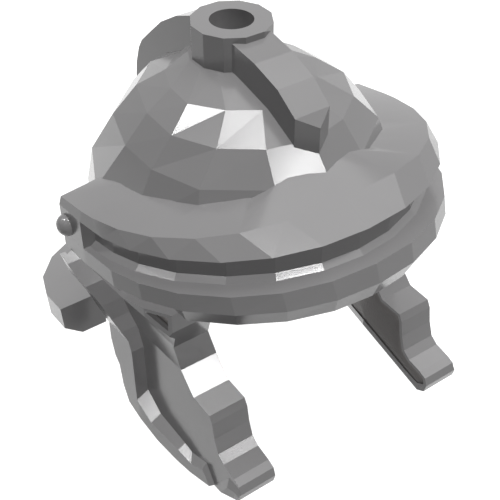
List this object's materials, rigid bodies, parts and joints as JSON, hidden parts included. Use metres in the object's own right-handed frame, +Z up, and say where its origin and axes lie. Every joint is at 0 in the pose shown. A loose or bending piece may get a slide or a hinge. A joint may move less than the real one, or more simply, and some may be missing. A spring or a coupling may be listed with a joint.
{
  "type": "roman helmet",
  "caption": "Faceted steel legionary helmet with a crest socket, crest bars, a peaked brow guard, a neck guard and hinged cheek guards.",
  "frame": {"origin": "on the crest socket's axis, at the level of the cheek guards' lowest edges", "axes": "+Z up through the crest socket, -Y out over the brow (front), +X toward the wearer's left"},
  "size_m": [0.298, 0.3472, 0.3225],
  "materials": {
    "steel": "satin",
    "fastener": "satin",
    "leather": "matte",
    "quilt": "matte"
  },
  "bodies": {
    "root": {"bowl": "steel", "crest_socket": "steel", "crest_washer": "fastener", "front_crest_bar": "steel", "rear_crest_bar": "steel", "brow_guard": "steel", "rim_band": "steel", "rim_rivets": "fastener", "right_temple_rivet": "steel", "left_temple_rivet": "steel", "neck_guard": "steel", "neck_guard_rivets": "fastener", "liner_cap": "quilt", "headband": "leather", "right_hinge_bracket": "fastener", "left_hinge_bracket": "fastener", "right_bracket_rivets": "fastener", "left_bracket_rivets": "fastener", "right_hinge_pin": "fastener", "left_hinge_pin": "fastener"},
    "right_cheek": {"right_cheek_plate": "steel", "right_cheek_edging": "steel", "right_cheek_pad": "leather", "right_cheek_leaf": "fastener", "right_leaf_rivets": "steel"},
    "left_cheek": {"left_cheek_plate": "steel", "left_cheek_edging": "steel", "left_cheek_pad": "leather", "left_cheek_leaf": "fastener", "left_leaf_rivets": "steel"}
  },
  "joints": [
    {"name": "right_cheek_hinge", "type": "hinge", "parent": "root", "child": "right_cheek", "pos_m": [-0.131, -0.03, 0.175], "axis": [0, 0.9889, -0.1483], "range_deg": [0, 35]},
    {"name": "left_cheek_hinge", "type": "hinge", "parent": "root", "child": "left_cheek", "pos_m": [0.131, -0.03, 0.175], "axis": [0, -0.9889, 0.1483], "range_deg": [0, 35]}
  ]
}
